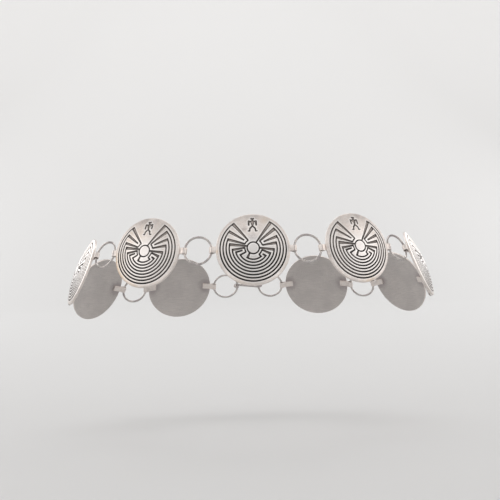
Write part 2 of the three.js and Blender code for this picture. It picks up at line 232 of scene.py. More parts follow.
def belt_places():
    """CAD node name to its matrix, with the whole belt centred between its highest and lowest bails."""
    points, faces, rings, ups = solve_belt()
    lift = np.array([0, 0, -points[-1][2] / 2])
    places = {}

    def concho(name, f):
        middle = (f["from"] + f["to"]) / 2
        places[name] = placed(f, middle - f["up"] * BAIL_RISE + f["normal"] * BAIL_DROP + lift)

    def ring(name, f):
        middle = (f["from"] + f["to"]) / 2
        places[name] = placed(f, middle - f["up"] * RING_RADIUS * math.sin(math.radians(f["bend"])) + lift)

    concho("concho_front", faces[0])
    for i, f in enumerate(faces[1:], 1):
        concho(f"concho_right_{i}", f)
        other = face_frame(mirror_point(f["to"]), mirror_point(f["from"]), STATIONS[i]["tilt"])
        concho(f"concho_left_{i}", other)
    for i, f in enumerate(rings):
        ring(f"ring_right_{i + 1}", f)
        other = ring_frame(
            mirror_point(f["to"]), mirror_point(f["from"]), mirror_point(ups[i + 1]), mirror_point(ups[i]),
        )
        ring(f"ring_left_{i + 1}", other)
    end = points[-1]
    hook = face_frame(end, mirror_point(end), HOOK_TILT)
    places["clasp_hook"] = placed(hook, np.array([0, end[1], end[2]]) + lift)
    return places


# The maze as flat shapes. Each has closed loops grown by any amount and a signed distance.

# The longest step between neighbouring points of a loop
SPACING = 0.7


def polar(r, degrees):
    a = np.radians(degrees)
    return np.stack([r * np.sin(a), -r * np.cos(a)], axis=-1)


def arc_radius(number):
    first = FIRST_ARC_SHARE * PATTERN_RADIUS
    return first + (PATTERN_RADIUS - first) * number / (ARC_COUNT - 1)


class Arc:
    """A groove along part of a circle."""

    def __init__(self, r, start, end):
        self.r, self.start, self.end = r, start, end

    def loops(self, grow):
        half = GROOVE_WIDTH / 2 + grow
        more = math.degrees(grow / self.r)
        a, b = self.start - more, self.end + more
        count = max(2, int(math.radians(b - a) * self.r / SPACING))
        angles = np.linspace(a, b, count + 1)
        return [np.concatenate([polar(self.r + half, angles), polar(self.r - half, angles[::-1])])]

    def distance(self, p):
        r = np.hypot(p[:, 0], p[:, 1])
        angle = np.degrees(np.arctan2(p[:, 0], -p[:, 1]))
        middle, half = (self.start + self.end) / 2, (self.end - self.start) / 2
        off = np.abs((angle - middle + 180) % 360 - 180) - half
        return np.maximum(np.abs(r - self.r) - GROOVE_WIDTH / 2, np.radians(off) * self.r)


class Ring:
    """The round groove about the button."""

    def __init__(self, r):
        self.r = r

    def loops(self, grow):
        half = GROOVE_WIDTH / 2 + grow
        count = int(2 * math.pi * self.r / SPACING)
        angles = np.arange(count) * 360 / count
        return [polar(self.r + half, angles), polar(self.r - half, angles)]

    def distance(self, p):
        return np.abs(np.hypot(p[:, 0], p[:, 1]) - self.r) - GROOVE_WIDTH / 2


class Wedge:
    """A straight groove that widens outwards."""

    def __init__(self, row):
        line = dict(zip(LINE_COLUMNS, row))
        a = polar(line["start"] * PATTERN_RADIUS, line["start_angle"])
        b = polar(arc_radius(line["arc"]), line["end_angle"])
        along = unit(b - a)
        across = np.array([-along[1], along[0]])
        w0 = line["start_width"] * GROOVE_WIDTH / 2
        w1 = line["end_width"] * GROOVE_WIDTH / 2
        corners = [a - across * w0, b - across * w1, b + across * w1, a + across * w0]
        self.corners = np.array(corners)
        self.edges = []
        for i in range(4):
            p, q = corners[i], corners[(i + 1) % 4]
            d = unit(q - p)
            self.edges.append((np.array([d[1], -d[0]]), p))

    def loops(self, grow):
        moved = [(n, p + n * grow) for n, p in self.edges]
        points = []
        for i in range(4):
            (n0, p0), (n1, p1) = moved[i - 1], moved[i]
            points.append(np.linalg.solve(np.array([n0, n1]), np.array([n0 @ p0, n1 @ p1])))
        return [densify(np.array(points))]

    def distance(self, p):
        return np.max([(p - q) @ n for n, q in self.edges], axis=0)


class Figure:
    """The small figure above the maze."""

    def __init__(self):
        foot = CONCHO_RADIUS - FIGURE_TOP_GAP - FIGURE_HEIGHT
        right = [(x * FIGURE_HEIGHT, foot + y * FIGURE_HEIGHT) for x, y in FIGURE_HALF]
        left = [(-x, y) for x, y in right[-2:0:-1]]
        points = np.array(right + left)
        area = np.sum(points[:, 0] * np.roll(points[:, 1], -1) - np.roll(points[:, 0], -1) * points[:, 1])
        self.points = points if area > 0 else points[::-1]

    def loops(self, grow):
        p = self.points
        d = np.roll(p, -1, 0) - p
        n = np.stack([d[:, 1], -d[:, 0]], 1) / np.linalg.norm(d, axis=1)[:, None]
        before = np.roll(n, 1, 0)
        mitre = before + n
        mitre /= np.maximum(np.sum(mitre * n, axis=1), 0.5)[:, None]
        return [densify(p + mitre * grow)]

    def distance(self, q):
        p = self.points
        ends = np.roll(p, -1, 0)
        best = np.full(len(q), 1e9)
        inside = np.zeros(len(q), bool)
        for a, b in zip(p, ends):
            d = b - a
            t = np.clip(((q - a) @ d) / (d @ d), 0, 1)
            best = np.minimum(best, np.linalg.norm(q - a - t[:, None] * d, axis=1))
            crosses = (a[1] > q[:, 1]) != (b[1] > q[:, 1])
            with np.errstate(divide="ignore", invalid="ignore"):
                x = a[0] + (q[:, 1] - a[1]) * d[0] / d[1]
            inside ^= crosses & (q[:, 0] < x)
        return np.where(inside, -best, best)


def densify(points):
    """Cuts each side of a closed loop into equal steps."""
    out = []
    for a, b in zip(points, np.roll(points, -1, 0)):
        count = max(1, int(np.linalg.norm(b - a) / SPACING))
        out += [a + (b - a) * i / count for i in range(count)]
    return np.array(out)


def maze_shapes():
    """Every groove of the face. Each arc runs between the outer ends of its two wedges."""
    lines = {}
    for side, rows in ((-1, LEFT_LINES), (1, RIGHT_LINES)):
        for row in rows:
            line = dict(zip(LINE_COLUMNS, row))
            half = math.degrees(math.asin(line["end_width"] * GROOVE_WIDTH / 2 / arc_radius(line["arc"])))
            lines[side, line["arc"]] = line["end_angle"] + side * half
    shapes = [Arc(arc_radius(k), lines[-1, k], lines[1, k]) for k in range(ARC_COUNT)]
    shapes += [Arc(share * PATTERN_RADIUS, a, b) for share, a, b in JOINING_ARCS]
    shapes += [Wedge(row) for row in LEFT_LINES + RIGHT_LINES]
    return shapes + [Ring(BUTTON_SHARE * PATTERN_RADIUS), Figure()]


# The concho's mesh

# How far from a groove's edge each contour runs, and how deep the face is there as a share of
# the groove: a soft shoulder on the silver, then a steep wall down to the floor
WALL = [(0.17, 0.0), (0.09, 0.02), (0.03, 0.09), (-0.05, 0.92), (-0.13, 1.0)]
EDGE_ROUND = 0.42
# Points that fill the face: how far apart, and between which distances from a groove's edge
FILL = [(1.2, 0.5, 99), (0.4, -9, -0.34)]


def dome(r):
    return np.sqrt(np.maximum(SPHERE**2 - r**2, 0)) - (SPHERE - DOME_RISE)


def face_height(r, distance):
    offsets = [w[0] for w in WALL][::-1]
    depths = [w[1] * GROOVE_DEPTH for w in WALL][::-1]
    sunk = np.interp(distance, offsets, depths)
    t = np.clip((r - (CONCHO_RADIUS - EDGE_ROUND)) / EDGE_ROUND, 0, 1)
    rounded = EDGE_ROUND * (1 - np.sqrt(1 - t**2))
    return CONCHO_THICKNESS - sunk - rounded + dome(r)


# Points round the rim, the circles that round its front edge, and the gap from them to the grid
RIM_COUNT = 240
RIM_CIRCLES = [CONCHO_RADIUS - d for d in (0.55, 0.42, 0.25, 0.12, 0.04, 0.0)]
GRID_GAP = 0.9
# Points of the face that lie closer together than this count as one
SAME_POINT = 1e-5
# The rim's edge from front to back: how far in from the radius and how far above the back. The
# step in the middle is the seam between two soldered sheets.
EDGE_STEPS = [(0.0, 0.80), (0.07, 0.74), (0.07, 0.70), (0.0, 0.64), (0.0, 0.22), (0.06, 0.07), (0.2, 0.0)]
# The hollow back: radii from the rim inwards, and how the metal thins there towards the middle
BACK_EDGE = CONCHO_RADIUS - EDGE_STEPS[-1][0]
BACK_RADII = (24.9, 24.2, 23.0, 21.4, 19.0, 16.0, 13.0, 10.0, 7.0, 4.0, 1.5, 0.4)
THINNING = [(0.0, 1.0), (0.55, 0.6), (1.0, 0.0)]


def triangular_grid(step):
    """Evenly spread points inside the outermost contour of the rim."""
    count = int(CONCHO_RADIUS / step * 1.2)
    i, j = np.meshgrid(np.arange(-count, count + 1), np.arange(-count, count + 1))
    grid = np.stack([(i + 0.5 * (j % 2)) * step, j * step * math.sqrt(0.75)], -1).reshape(-1, 2)
    return grid[np.hypot(grid[:, 0], grid[:, 1]) < CONCHO_RADIUS - GRID_GAP]


def face_mesh():
    """The carved and rounded front: points, triangles and each point's distance from a groove's edge."""
    shapes = maze_shapes()
    points, edges = [], []

    def add_loop(loop):
        start = len(points)
        points.extend(map(tuple, loop))
        count = len(loop)
        edges.extend((start + i, start + (i + 1) % count) for i in range(count))

    for grow, _ in WALL:
        for shape in shapes:
            for loop in shape.loops(grow):
                add_loop(loop)
    angles = np.arange(RIM_COUNT) * 360 / RIM_COUNT
    for r in RIM_CIRCLES:
        add_loop(polar(r, angles))
    for step, low, high in FILL:
        grid = triangular_grid(step)
        away = np.min([s.distance(grid) for s in shapes], axis=0)
        points.extend(map(tuple, grid[(away > low) & (away < high)]))
    result = delaunay_2d_cdt([Vector(p) for p in points], edges, [], 0, SAME_POINT, False)
    flat = np.array([tuple(v) for v in result[0]])
    triangles = np.array(result[2])
    distance = np.min([s.distance(flat) for s in shapes], axis=0)
    height = face_height(np.hypot(flat[:, 0], flat[:, 1]), distance)
    return np.column_stack([flat, height]), triangles, distance


def circle_rows(profile, count):
    """Rings of points for a profile of (radius, height) pairs, and the faces that join them."""
    angles = np.arange(count) * 360 / count
    rows = [np.column_stack([polar(r, angles), np.full(count, z)]) for r, z in profile]
    faces = []
    for i in range(len(profile) - 1):
        for j in range(count):
            k = (j + 1) % count
            faces.append((i * count + j, i * count + k, (i + 1) * count + k, (i + 1) * count + j))
    return np.concatenate(rows), faces


def back_height(r):
    shares = [share * CONCHO_RADIUS for share, _ in THINNING]
    thin = np.interp(r, shares, [amount * CENTRE_THINNING for _, amount in THINNING])
    return thin + dome(r)


def rim_edge():
    """The rim's edge, where two soldered sheets show as a fine seam."""
    profile = [(CONCHO_RADIUS, CONCHO_THICKNESS - EDGE_ROUND)]
    profile += [(CONCHO_RADIUS - inwards, z) for inwards, z in EDGE_STEPS]
    return circle_rows([(r, z + float(dome(r))) for r, z in profile], RIM_COUNT)


def hollow_back():
    """The back, from the rim's edge to a small flat middle."""
    rows = [(BACK_EDGE, float(dome(BACK_EDGE)))]
    rows += [(r, float(back_height(r))) for r in BACK_RADII]
    points, faces = circle_rows(rows, RIM_COUNT)
    last = (len(rows) - 1) * RIM_COUNT
    faces.append(tuple(last + j for j in range(RIM_COUNT)))
    return points, faces


def smooth_path(controls, per_step):
    """A curve through the control points, evenly cut between each two."""
    p = np.array(controls, float)
    p = np.concatenate([[2 * p[0] - p[1]], p, [2 * p[-1] - p[-2]]])
    out = []
    for i in range(1, len(p) - 2):
        a, b, c, d = p[i - 1], p[i], p[i + 1], p[i + 2]
        for k in range(per_step):
            t = k / per_step
            square = (2 * a - 5 * b + 4 * c - d) * t**2
            cube = (3 * b - a - 3 * c + d) * t**3
            out.append(0.5 * (2 * b + (c - a) * t + square + cube))
    out.append(p[-2])
    return np.array(out)


def rounded_section(width, thickness, corner, steps=4):
    """A rectangle with round corners about the origin."""
    points = []
    for sx, sy, start in ((1, 1, 0), (-1, 1, 90), (-1, -1, 180), (1, -1, 270)):
        cx, cy = sx * (width / 2 - corner), sy * (thickness / 2 - corner)
        for i in range(steps + 1):
            a = math.radians(start + 90 * i / steps)
            points.append((cx + corner * math.cos(a), cy + corner * math.sin(a)))
    return np.array(points)


# The strap: where its leg follows the hollow back, as distances from the leg's inner end and
# from the rim, then the gap between its legs, the rounding of its edges, and the curve round
# its tunnel
LEG_INNER = (0.0, 2.0)
LEG_OUTER = (2.0, 0.4)
LEG_GAP = 0.01
STRAP_CORNER = 0.14
CURL = range(118, -125, -22)


def bail_mesh(side):
    """A flat strap folded round its tunnel. Both legs lie against the hollow back."""
    half = STRAP_THICKNESS / 2
    inner = CONCHO_RADIUS - STRAP_LEG
    first = SOLDER_SINK - half
    second = first - STRAP_THICKNESS - LEG_GAP
    loop = TUNNEL_RADIUS + half

    def leg(x, offset):
        return (x, float(dome(x)) + offset)

    xs = [inner + d for d in LEG_INNER] + [CONCHO_RADIUS - d for d in LEG_OUTER]
    controls = [leg(x, first) for x in xs]
    for angle in CURL:
        a = math.radians(angle)
        controls.append((BAIL_REACH + loop * math.cos(a), -BAIL_DROP + loop * math.sin(a)))
    controls += [leg(x, second) for x in xs[::-1]]
    path = smooth_path(controls, 4)
    section = rounded_section(STRAP_WIDTH, STRAP_THICKNESS, STRAP_CORNER)
    rows = []
    for i, point in enumerate(path):
        along = unit(path[min(i + 1, len(path) - 1)] - path[max(i - 1, 0)])
        normal = np.array([-along[1], along[0]])
        row = [
            (side * (point[0] + normal[0] * v), u + BAIL_RISE, point[1] + normal[1] * v)
            for u, v in section
        ]
        rows.append(row)
    return loft(rows, flip=side > 0)


def loft(rows, flip=False):
    """Joins equal closed rows into a tube with capped ends."""
    count = len(rows[0])
    points = np.array([p for row in rows for p in row])
    faces = []
    for i in range(len(rows) - 1):
        for j in range(count):
            k = (j + 1) % count
            faces.append((i * count + j, (i + 1) * count + j, (i + 1) * count + k, i * count + k))
    faces.append(tuple(range(count)))
    faces.append(tuple((len(rows) - 1) * count + j for j in reversed(range(count))))
    if flip:
        faces = [f[::-1] for f in faces]
    return points, faces


# The groove distance given to points that lie near no groove
NO_GROOVE = 2.0
# Points of a mesh that lie closer together than this, in metres, are joined
WELD_DISTANCE = 1e-7


def new_mesh(name, parts, materials):
    """Joins parts into one mesh. A part is its points, faces, material number and groove distances."""
    points, faces, slots, distances = [], [], [], []
    start = 0
    for part_points, part_faces, slot, distance in parts:
        points.append(part_points)
        faces += [tuple(int(start + i) for i in f) for f in part_faces]
        slots += [slot] * len(part_faces)
        distances.append(np.full(len(part_points), NO_GROOVE) if distance is None else distance)
        start += len(part_points)
    mesh = bpy.data.meshes.new(name)
    mesh.from_pydata((np.concatenate(points) * MM).tolist(), [], faces)
    mesh.polygons.foreach_set("material_index", slots)
    mesh.polygons.foreach_set("use_smooth", [True] * len(faces))
    groove = mesh.attributes.new("groove", "FLOAT", "POINT")
    groove.data.foreach_set("value", np.concatenate(distances).astype(np.float32))
    spot = mesh.attributes.new("spot", "FLOAT_VECTOR", "POINT")
    spot.data.foreach_set("vector", np.concatenate(points).astype(np.float32).ravel())
    for material in materials:
        mesh.materials.append(material)
    mesh.update()
    return mesh


def weld(mesh):
    """Closes the mesh where its parts share points, and turns every face outwards."""
    edit = bmesh.new()
    edit.from_mesh(mesh)
    bmesh.ops.remove_doubles(edit, verts=edit.verts, dist=WELD_DISTANCE)
    bmesh.ops.recalc_face_normals(edit, faces=edit.faces)
    edit.to_mesh(mesh)
    edit.free()


def concho_mesh():
    """One concho with both bails. Every concho of the belt is a copy of it."""
    materials = [face_material(), back_material(), strap_material()]
    face, back, strap = range(len(materials))
    points, triangles, distance = face_mesh()
    parts = [(points, triangles, face, distance), (*rim_edge(), strap, None), (*hollow_back(), back, None)]
    parts += [(*bail_mesh(side), strap, None) for side in (1, -1)]
    mesh = new_mesh("concho", parts, materials)
    weld(mesh)
    return mesh


# Rings and the hook

WIRE_SIDES = 20
RING_STEPS = 144
# The soldered joint: height and half width of the swelling, then depth and half width of its seam
JOINT = {"swell": 0.045, "reach": 0.7, "seam": 0.05, "seam_reach": 0.16}
# How uneven a ring's wire is, as shares of its radius: three broad waves and seven finer ones
UNEVEN = (0.012, 0.008)
HOOK_STEPS = 40
SPINE_STEPS = 14
TIP_STEPS = 6
# How blunt the very end of a tip is, as a share of the wire's section
TIP_BLUNT = 0.02


def tube(path, sides, radii, closed):
    """Round wire along a flat path in x and y, with a radius for each point of the path."""
    rows = []
    count = len(path)
    for i, point in enumerate(path):
        before = path[(i - 1) % count] if closed else path[max(i - 1, 0)]
        after = path[(i + 1) % count] if closed else path[min(i + 1, count - 1)]
        along = unit(after - before)
        across = np.array([-along[1], along[0]])
        row = []
        for j in range(sides):
            a = 2 * math.pi * j / sides
            flat = point + across * radii[i] * math.cos(a)
            row.append((flat[0], flat[1], radii[i] * math.sin(a)))
        rows.append(row)
    if not closed:
        return loft(rows)
    points = np.array([p for row in rows for p in row])
    faces = []
    for i in range(count):
        n = (i + 1) % count
        for j in range(sides):
            k = (j + 1) % sides
            faces.append((i * sides + j, n * sides + j, n * sides + k, i * sides + k))
    return points, faces


def ring_mesh(name, material, seam_angle):
    """A ring of round wire, a touch uneven, with its soldered joint at the seam angle."""
    angles = np.arange(RING_STEPS) * 2 * math.pi / RING_STEPS
    path = np.stack([RING_RADIUS * np.cos(angles), RING_RADIUS * np.sin(angles)], 1)
    off = np.abs((angles - math.radians(seam_angle) + math.pi) % (2 * math.pi) - math.pi) * RING_RADIUS
    swell = JOINT["swell"] * np.exp(-((off / JOINT["reach"]) ** 2))
    swell = swell - JOINT["seam"] * np.exp(-((off / JOINT["seam_reach"]) ** 2))
    uneven = UNEVEN[0] * np.sin(3 * angles + seam_angle) + UNEVEN[1] * np.sin(7 * angles)
    points, faces = tube(path, WIRE_SIDES, WIRE_RADIUS * (1 + uneven) + swell, True)
    mesh = new_mesh(name, [(points, faces, 0, None)], [material])
    weld(mesh)
    return mesh


def hook_mesh(material):
    """The S hook: two curls of round wire on one straight spine, with rounded tips."""
    curl = HOOK_WIRE / 2 + HOOK_CLEARANCE + WIRE_RADIUS
    lean = math.degrees(math.asin(curl / HOOK_HALF))
    angles = np.radians(np.linspace(90 + lean, HOOK_END_ANGLE, HOOK_STEPS))
    half = np.stack([HOOK_HALF + curl * np.cos(angles), curl * np.sin(angles)], 1)
    spine = np.linspace(-half[0], half[0], SPINE_STEPS)[1:-1]
    path = np.concatenate([-half[::-1], spine, half])
    wire = HOOK_WIRE / 2
    radii = np.full(len(path), wire)
    for i in range(TIP_STEPS):
        t = 1 - i / TIP_STEPS
        radii[i] = radii[-1 - i] = wire * math.sqrt(max(1 - t**2, TIP_BLUNT))
    points, faces = tube(path, WIRE_SIDES, radii, False)
    points = points[:, [0, 2, 1]] * [1, -1, 1]
    mesh = new_mesh("clasp_hook", [(points, faces, 0, None)], [material])
    weld(mesh)
    return mesh


# Materials


class Nodes:
    """Short ways to add shader nodes to one material."""

    def __init__(self, name):
        self.material = bpy.data.materials.new(name)
        self.material.use_nodes = True
        self.tree = self.material.node_tree
        self.shader = self.tree.nodes["Principled BSDF"]

    def put(self, socket, value):
        if isinstance(value, bpy.types.Node):
            value = value.outputs[0]
        if isinstance(value, bpy.types.NodeSocket):
            self.tree.links.new(value, socket)
        else:
            socket.default_value = value

    def add(self, kind, *values, **settings):
        node = self.tree.nodes.new(kind)
        for key, value in settings.items():
            setattr(node, key, value)
        for i, value in enumerate(values):
            self.put(node.inputs[i], value)
        return node

    def set(self, **inputs):
        for key, value in inputs.items():
            self.put(self.shader.inputs[key.replace("_", " ")], value)

    def math(self, operation, a, b=0.0, clamp=False):
        return self.add("ShaderNodeMath", a, b, operation=operation, use_clamp=clamp)

    def plus(self, a, b, clamp=False):
        return self.math("ADD", a, b, clamp)

    def times(self, a, b, clamp=False):
        return self.math("MULTIPLY", a, b, clamp)

    def split(self, vector):
        return self.add("ShaderNodeSeparateXYZ", vector).outputs

    def ramp(self, value, low, high, to_low=0.0, to_high=1.0):
        """A smooth step from to_low to to_high while the value goes from low to high."""
        step = "SMOOTHSTEP"
        return self.add("ShaderNodeMapRange", value, low, high, to_low, to_high, interpolation_type=step)

    def mix(self, amount, a, b):
        node = self.add("ShaderNodeMix", amount, data_type="RGBA")
        self.put(node.inputs[6], a)
        self.put(node.inputs[7], b)
        return node.outputs[2]

    def attribute(self, name):
        return self.add("ShaderNodeAttribute", attribute_name=name)

    def place(self):
        """The point in the piece's own millimetres, and that point moved differently on each piece."""
        spot = self.attribute("spot").outputs["Vector"]
        chance = self.add("ShaderNodeObjectInfo").outputs["Random"]
        moved = self.add("ShaderNodeVectorMath", spot, self.times(chance, 400.0), operation="ADD")
        return spot, moved.outputs[0]

    def noise(self, vector, scale, detail=3.0, roughness=0.5):
        node = self.add("ShaderNodeTexNoise")
        self.put(node.inputs["Vector"], vector)
        node.inputs["Scale"].default_value = scale
        node.inputs["Detail"].default_value = detail
        node.inputs["Roughness"].default_value = roughness
        return node.outputs["Fac"]

    def turned(self, vector, angle, stretch):
        node = self.add("ShaderNodeMapping")
        self.put(node.inputs["Vector"], vector)
        node.inputs["Rotation"].default_value = (0, 0, math.radians(angle))
        node.inputs["Scale"].default_value = stretch
        return node.outputs[0]

    def scratches(self, vector):
        """Fine hairlines that run two ways, as finishing paper and wear leave them."""
        one = self.noise(self.turned(vector, 24, (0.25, 7.0, 1.0)), 1.0, 2.0)
        two = self.noise(self.turned(vector, -63, (0.3, 6.0, 1.0)), 1.0, 2.0)
        return self.times(self.plus(one, two), 0.5)

    def bump(self, height, strength, distance, normal=None):
        node = self.add("ShaderNodeBump")
        node.inputs["Strength"].default_value = strength
        node.inputs["Distance"].default_value = distance * MM
        self.put(node.inputs["Height"], height)
        if normal is not None:
            self.put(node.inputs["Normal"], normal)
        return node.outputs[0]


# Painted highlight: the colour that lightens the silver beside each groove
SILVER_EDGE_HIGHLIGHT = (0.92, 0.90, 0.885, 1)
SILVER_CLEAN = (0.74, 0.73, 0.725, 1)
SILVER_LIGHT = (0.84, 0.785, 0.75, 1)
SILVER_WARM = (0.78, 0.70, 0.65, 1)
SILVER_DULL = (0.60, 0.56, 0.535, 1)
SILVER_WIRE = (0.46, 0.44, 0.43, 1)
SILVER_BACK = (0.42, 0.395, 0.385, 1)
TARNISH = (0.30, 0.26, 0.265, 1)
AMBER = (0.70, 0.54, 0.36, 1)
OXIDE = (0.010, 0.009, 0.009, 1)
# Painted light: the oxide as it shows higher on the face, where light falls into the grooves
OXIDE_LIT_HIGH = (0.075, 0.066, 0.062, 1)
OXIDE_WORN = (0.56, 0.50, 0.465, 1)
# Painted light on the groove walls, which carry the same oxide as the floors
WALL_PAINTED_LIGHT = (0.36, 0.32, 0.30, 1)

# The cooler grey of the button and of the maze's lower half: its middle on the face, how far it
# reaches and over what width it ends
CLEAN_MIDDLE = (0.0, -5.0, 0.0)
CLEAN_REACH = 18.5
CLEAN_FADE = 7.0

# Distances from a groove's edge, below zero inside the groove: where a painted highlight brightens the
# silver, where the oxide ends, where a floor counts as wide, and where the wall begins and ends
HIGHLIGHT_EDGE = (1.2, 0.3)
OXIDE_EDGE = (-0.02, 0.10)
WIDE_FLOOR = (-0.38, -0.60)
WALL_FOOT = (-0.065, -0.045)
WALL_HEAD = (0.06, 0.03)
# Heights on the face between which the dark spreads further over the groove edges as painted shade, and by
# how much
SHADE_SPREAD_HEIGHTS = (6.0, -12.0)
SHADE_SPREAD = -0.08
# Heights between which the floors grow lighter towards the figure, as painted light falling into the upper
# grooves
LIT_FLOOR_HEIGHTS = (-6.0, 15.0)
HATCH_TURNS = 380.0
# The back: distances from the solder between which the heat's tarnish ends
HEAT_REACH = (5.5, 11.0)
# The strap's fine dark line across its outer curve: distances from its middle between which it ends, and
# heights between which it starts
STRAP_DARK_LINE = (0.10, 0.24)
STRAP_DARK_LINE_HEIGHTS = (-1.4, -1.0)


def satin_silver(nodes, moved):
    """Colour, roughness and bump height of plain satin silver."""
    cloud = nodes.noise(moved, 0.16, 4.0, 0.6)
    tint = nodes.noise(moved, 0.6, 4.0, 0.6)
    fine = nodes.noise(moved, 1.8, 4.0, 0.65)
    lines = nodes.scratches(moved)
    colour = nodes.mix(nodes.ramp(cloud, 0.38, 0.72, 0.0, 0.7), SILVER_LIGHT, SILVER_DULL)
    colour = nodes.mix(nodes.ramp(tint, 0.40, 0.64, 0.0, 0.85), colour, SILVER_WARM)
    colour = nodes.mix(nodes.ramp(lines, 0.46, 0.62, 0.0, 0.35), colour, SILVER_DULL)
    colour = nodes.mix(nodes.ramp(fine, 0.56, 0.74, 0.0, 0.4), colour, TARNISH)
    rough = nodes.ramp(fine, 0.3, 0.7, 0.30, 0.44)
    rough = nodes.plus(rough, nodes.ramp(lines, 0.35, 0.65, -0.05, 0.08))
    grain = nodes.plus(nodes.times(lines, 0.7), nodes.times(fine, 0.3))
    return colour, rough, grain


def face_silver(nodes, spot, moved, groove):
    """The raised metal: cooler in the middle, stained where marked, with a painted highlight along the
    grooves.
    """
    colour, rough, grain = satin_silver(nodes, moved)
    away = nodes.add("ShaderNodeVectorMath", spot, CLEAN_MIDDLE, operation="DISTANCE").outputs["Value"]
    clean = nodes.ramp(away, CLEAN_REACH, CLEAN_REACH - CLEAN_FADE, 0.0, 0.7)
    colour = nodes.mix(clean, colour, SILVER_CLEAN)
    speckle = nodes.ramp(nodes.noise(moved, 0.9, 4.0, 0.65), 0.3, 0.62, 0.35, 1.0)
    for name, shade in (("tarnish", TARNISH), ("amber", AMBER)):
        amount = nodes.times(nodes.attribute(name).outputs["Fac"], speckle)
        colour = nodes.mix(amount, colour, shade)
    # Painted highlight: the silver is lightened in a band beside each groove
    colour = nodes.mix(nodes.ramp(groove, *HIGHLIGHT_EDGE, 0.0, 0.55), colour, SILVER_EDGE_HIGHLIGHT)
    return colour, rough, grain


def oxide_and_shade_cover(nodes, moved, groove, up):
    """Where oxide covers the metal. Its edge wanders, and low on the face painted shade spreads it further
    over the edges.
    """
    wander = nodes.times(nodes.math("SUBTRACT", nodes.noise(moved, 2.2, 2.0), 0.5), 0.10)
    # Painted shade: low on the face the dark reaches further over the groove edges
    shade_spread = nodes.ramp(up, *SHADE_SPREAD_HEIGHTS, 0.0, SHADE_SPREAD)
    return nodes.ramp(nodes.plus(groove, nodes.plus(wander, shade_spread)), *OXIDE_EDGE, 1.0, 0.0)


def hatching(nodes, moved, x, y):
    """Fine uneven lines that run out from the middle of the face."""
    lines = nodes.math("SINE", nodes.times(nodes.math("ARCTAN2", x, y), HATCH_TURNS))
    return nodes.ramp(nodes.plus(lines, nodes.noise(moved, 3.0, 2.0)), -0.4, 1.6)


def face_material():
    """Satin silver. The maze's floors are oxidised dark, lighter and hatched where they are wide. The groove
    walls and the floors high on the face carry painted light, and painted shade widens the dark low on the
    face.
    """
    nodes = Nodes("concho_face_silver")
    spot, moved = nodes.place()
    x, y, _ = nodes.split(spot)
    groove = nodes.attribute("groove").outputs["Fac"]
    silver, rough, grain = face_silver(nodes, spot, moved, groove)
    dark = oxide_and_shade_cover(nodes, moved, groove, y)
    hatch = hatching(nodes, moved, x, y)
    wide = nodes.ramp(groove, *WIDE_FLOOR)
    worn = nodes.times(wide, nodes.plus(nodes.times(hatch, 0.6), 0.55), True)
    wall = nodes.times(nodes.ramp(groove, *WALL_FOOT), nodes.ramp(groove, *WALL_HEAD))
    # Painted light: the oxide is lightened higher on the face, where light falls into the grooves
    floor = nodes.mix(nodes.ramp(y, *LIT_FLOOR_HEIGHTS), OXIDE, OXIDE_LIT_HIGH)
    floor = nodes.mix(worn, floor, OXIDE_WORN)
    # Painted light: the groove walls are lightened as if lit, though they are oxidised like the floors
    floor = nodes.mix(nodes.times(wall, 0.85), floor, WALL_PAINTED_LIGHT)
    bump = nodes.bump(grain, 0.35, 0.03)
    bump = nodes.bump(nodes.times(hatch, nodes.times(dark, wide)), 0.8, 0.10, bump)
    shine = nodes.plus(nodes.math("SUBTRACT", 1.0, dark), nodes.times(worn, 0.6), True)
    nodes.set(
        Base_Color=nodes.mix(dark, silver, floor),
        Metallic=nodes.plus(shine, nodes.times(wall, 0.7), True),
        Roughness=nodes.plus(rough, nodes.times(dark, 0.06)),
        Specular_IOR_Level=0.25,
        Normal=bump,
    )
    return nodes.material


def back_material():
    """The hollow back: brushed, with doming marks and tarnish from the soldering heat at the bails."""
    nodes = Nodes("concho_back_silver")
    spot, moved = nodes.place()
    brushed = nodes.noise(nodes.turned(moved, 12, (0.14, 4.5, 1.0)), 1.0, 4.0)
    lines = nodes.scratches(moved)
    fine = nodes.noise(moved, 1.8, 4.0, 0.65)
    broad = nodes.noise(moved, 0.07, 2.0, 0.5)
    colour = nodes.mix(nodes.ramp(brushed, 0.36, 0.64, 0.1, 0.6), SILVER_DULL, SILVER_BACK)
    colour = nodes.mix(nodes.ramp(broad, 0.35, 0.65, 0.0, 0.35), colour, SILVER_BACK)
    colour = nodes.mix(nodes.ramp(fine, 0.58, 0.76, 0.0, 0.4), colour, TARNISH)
    x, y, _ = nodes.split(spot)
    along = nodes.math("SUBTRACT", nodes.math("ABSOLUTE", x), CONCHO_RADIUS - STRAP_LEG / 2)
    near = nodes.add("ShaderNodeCombineXYZ", along, nodes.math("SUBTRACT", y, BAIL_RISE))
    near = nodes.add("ShaderNodeVectorMath", near, operation="LENGTH").outputs["Value"]
    heat = nodes.plus(near, nodes.times(nodes.noise(moved, 0.3, 3.0), 5.0))
    colour = nodes.mix(nodes.ramp(heat, *HEAT_REACH, 0.6, 0.0), colour, TARNISH)
    flat = nodes.add("ShaderNodeVectorMath", spot, (1, 1, 0), operation="MULTIPLY")
    out = nodes.add("ShaderNodeVectorMath", flat, operation="LENGTH").outputs["Value"]
    turned = nodes.math("SINE", nodes.times(nodes.plus(out, broad), 5.5))
    bump = nodes.bump(nodes.plus(brushed, lines), 0.3, 0.025)
    bump = nodes.bump(turned, 0.15, 0.04, bump)
    bump = nodes.bump(nodes.noise(moved, 0.28, 1.0, 0.3), 0.3, 0.5, bump)
    nodes.set(
        Base_Color=colour,
        Metallic=1.0,
        Roughness=nodes.ramp(nodes.plus(fine, lines), 0.7, 1.3, 0.26, 0.38),
        Normal=bump,
    )
    return nodes.material


